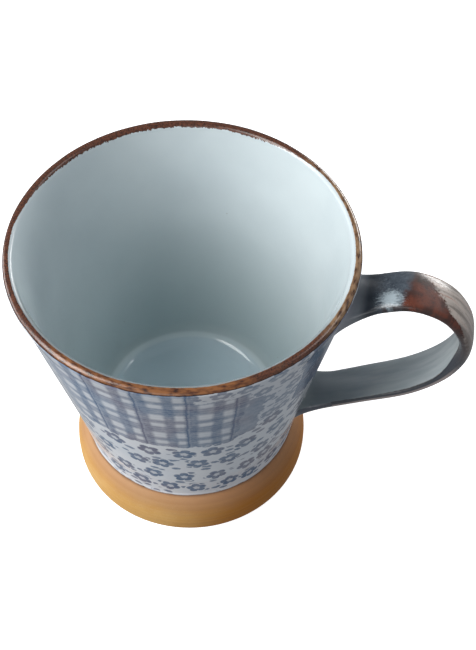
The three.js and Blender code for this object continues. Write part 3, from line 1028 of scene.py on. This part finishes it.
def strap_shell(start, end, columns, alongs):
    """Rings of a coat between two angles, which vary along the strap: its glazed face, then its underside."""
    share = np.linspace(0, 1, columns)[None, :]
    angles = start[:, None] * (1 - share) + end[:, None] * share
    along = np.repeat(alongs[:, None], columns, axis=1)
    outer = strap_points(along, angles, 0)
    inner = strap_points(along, angles, COAT)[:, ::-1]
    return np.concatenate((outer, inner), axis=1), np.concatenate((along, along), axis=1), angles


def strap_alongs():
    return np.linspace(UPPER_ROOT_LENGTH, HANDLE_LENGTH - LOWER_ROOT_LENGTH, STRAP_ROWS)


def handle_clay():
    alongs = strap_alongs()
    angles = np.linspace(0, 2 * math.pi, 56, endpoint=False)[None, :]
    rings = strap_points(np.repeat(alongs[:, None], 56, axis=1), angles, CLAY_DEPTH)
    skinned("handle_clay", rings, "strip", bare_clay(), "bare_clay", "handle_strap")


def handle_dark_coat():
    alongs = strap_alongs()
    start = -border_angle(alongs, 1)
    end = math.pi + border_angle(alongs, -1)
    rings, along, angles = strap_shell(start, end, 80, alongs)
    facing = np.sin(np.concatenate((angles, angles[:, ::-1]), axis=1))
    skinned("handle_dark_glaze", rings, "strip", dark_handle_glaze(), "dark_handle_glaze",
            "handle_outer_glaze", along=along, facing=facing)


def handle_pale_coat():
    alongs = strap_alongs()
    gap = 0.02
    start = math.pi + border_angle(alongs, -1) + gap
    end = 2 * math.pi - border_angle(alongs, 1) - gap
    rings, along, _ = strap_shell(start, end, 40, alongs)
    across = rings[..., 1]
    front = across + STRAP_HALF_WIDTH - glaze_border(along, -1)
    back = STRAP_HALF_WIDTH - glaze_border(along, 1) - across
    skinned("handle_pale_glaze", rings, "strip", pale_handle_glaze(), "pale_handle_glaze",
            "handle_inner_glaze", along=along, border=np.minimum(front, back))


def wall_points(across, height, depth):
    """Points at a depth under the cup's outside, from heights and distances across the handle's plane."""
    radius = outer_radius(height, depth)
    turn = across / radius
    return np.stack((AXIS_X + radius * np.cos(turn), radius * np.sin(turn), height), axis=-1)


def handle_root(name, node, strap_along, wall_along, height, half_width, half_height, material):
    """A strap end that spreads onto the wall: each line leaves the strap straight and flares as it lands.
    strap_along and wall_along are its two ends along the handle, and the rest place its footprint."""
    angles = np.linspace(0, 2 * math.pi, ROOT_COLUMNS, endpoint=False)
    along = np.full(ROOT_COLUMNS, strap_along)
    leave = strap_points(along, angles, 0)
    _, tangent = on_line(along)
    direction = np.sign(wall_along - strap_along)
    heading = np.stack((tangent[:, 0], 0 * along, tangent[:, 1]), axis=-1) * direction
    across, outwards = oblong(half_width, half_height, angles)
    up = outwards * np.where(direction < 0, 1, -1)
    landing = wall_points(across, height + up, ROOT_SINK)
    inner_landing = wall_points(across * 0.80, height + up * 0.62, 0.10 * MM)
    reach = 0.45 * abs(strap_along - wall_along)
    share = np.linspace(0, 1, ROOT_ROWS)[:, None, None]
    rings = (leave * (1 - share) ** 3 + 3 * (leave + heading * reach) * share * (1 - share) ** 2
             + 3 * inner_landing * share**2 * (1 - share) + landing * share**3)
    alongs = strap_along + (wall_along - strap_along) * np.repeat(share[..., 0], ROOT_COLUMNS, axis=1)
    facing = np.repeat(np.sin(angles)[None, :], ROOT_ROWS, axis=0)
    skinned(name, rings, "strip", material, "root_glaze", node, along=alongs, facing=facing)


def handle():
    handle_clay()
    handle_dark_coat()
    handle_pale_coat()
    glaze = root_glaze()
    handle_root("upper_root", "upper_handle_root", UPPER_ROOT_LENGTH, 4.3 * MM,
                75.4 * MM, 11.2 * MM, 6.2 * MM, glaze)
    handle_root("lower_root", "lower_handle_root",
                HANDLE_LENGTH - LOWER_ROOT_LENGTH, HANDLE_LENGTH - 2.8 * MM,
                29.6 * MM, 9.6 * MM, 5 * MM, glaze)


# ---- Studio ----

CAMERA_TURN = math.radians(12.65)
CAMERA_ELEVATION = math.radians(49.43)
CAMERA_DISTANCE = 318.07 * MM
CAMERA_AIM_HEIGHT = CUP_HEIGHT - 0.8 * MM
CAMERA_YAW = -0.0427
CAMERA_PITCH = -0.068
CAMERA_ROLL = -0.0468
CAMERA_LENS = 66.58
CAMERA_SENSOR = 36
FLOOR_REACH = 1.5
FLOOR_SQUARES = 12
FLOOR_DROP = 0.05 * MM


def studio_camera():
    """A camera above and in front of the mug, a little to the handle's side, turned slightly off the rim."""
    level = math.cos(CAMERA_ELEVATION)
    sideways = math.sin(CAMERA_TURN) * level
    forwards = -math.cos(CAMERA_TURN) * level
    back = Vector((sideways, forwards, math.sin(CAMERA_ELEVATION)))
    aimed = (-back).to_track_quat("-Z", "Y").to_matrix()
    turned_away = Matrix.Rotation(CAMERA_YAW, 3, "Y")
    tilted = Matrix.Rotation(CAMERA_PITCH, 3, "X")
    rolled = Matrix.Rotation(CAMERA_ROLL, 3, "Z")
    data = bpy.data.cameras.new("camera")
    data.lens = CAMERA_LENS
    data.sensor_width = CAMERA_SENSOR
    data.clip_start = 0.01
    camera = bpy.data.objects.new("camera", data)
    camera.matrix_world = (aimed @ turned_away @ tilted @ rolled).to_4x4()
    camera.location = Vector((AXIS_X, 0, CAMERA_AIM_HEIGHT)) + back * CAMERA_DISTANCE
    bpy.context.scene.collection.objects.link(camera)
    bpy.context.scene.camera = camera


def softbox(name, position, width, height, watts, colour=(1, 1, 1)):
    """A soft rectangular lamp that faces the middle of the mug."""
    data = bpy.data.lights.new(name, "AREA")
    data.shape = "RECTANGLE"
    data.size = width
    data.size_y = height
    data.energy = watts
    data.color = colour
    lamp = bpy.data.objects.new(name, data)
    middle = Vector((AXIS_X, 0, CUP_HEIGHT / 2))
    lamp.location = position
    lamp.rotation_euler = (middle - lamp.location).to_track_quat("-Z", "Y").to_euler()
    bpy.context.scene.collection.objects.link(lamp)


def pale_floor():
    """A wide white sheet under the mug, faintly lit of itself so that shadows on it stay light."""
    look = Look("pale_floor")
    grain = look.noise(4 * MM, 2)
    colour = look.mix(grain, (0.90, 0.90, 0.91), (0.93, 0.93, 0.93))
    material = look.finished(colour, grain * 0.1 + 0.75, grain, 0.02 * MM, Emission_Color=(1, 1, 1, 1),
                             Emission_Strength=0.8)
    across = FLOOR_SQUARES + 1
    steps = np.linspace(-FLOOR_REACH, FLOOR_REACH, across)
    points = [(x, y, -FLOOR_DROP) for y in steps for x in steps]
    corners = [row * across + column for row in range(FLOOR_SQUARES) for column in range(FLOOR_SQUARES)]
    mesh = bpy.data.meshes.new("floor")
    mesh.from_pydata(points, [], [(c, c + 1, c + 1 + across, c + across) for c in corners])
    mesh.materials.append(material)
    floor = bpy.data.objects.new("floor", mesh)
    bpy.context.scene.collection.objects.link(floor)
    floor.visible_diffuse = False
    floor.visible_glossy = False


def studio():
    """Dim, slightly blue surroundings, a big window at the left front and four weaker lamps."""
    world = bpy.data.worlds.new("studio")
    world.use_nodes = True
    background = world.node_tree.nodes["Background"]
    background.inputs["Color"].default_value = (0.92, 0.96, 1, 1)
    background.inputs["Strength"].default_value = 0.31
    bpy.context.scene.world = world
    bpy.context.scene.view_settings.view_transform = "Standard"
    softbox("window", (-0.66, -0.36, 0.60), 0.60, 0.80, 11, (1, 0.99, 0.97))
    softbox("left_card", (-0.965, 0.14, 0.14), 0.60, 0.30, 3.0)
    softbox("top_card", (0.60, 0.20, 0.77), 0.22, 0.22, 0.9)
    softbox("back_window", (0.42, 0.86, 0.26), 0.50, 0.26, 4.5, (1, 0.99, 0.98))
    softbox("fill", (-0.10, -0.90, 0.35), 0.5, 0.4, 1.0)
    pale_floor()


clay_cup()
foot_ring()
liner()
printed_coat()
rim_band()
handle()
studio_camera()
studio()
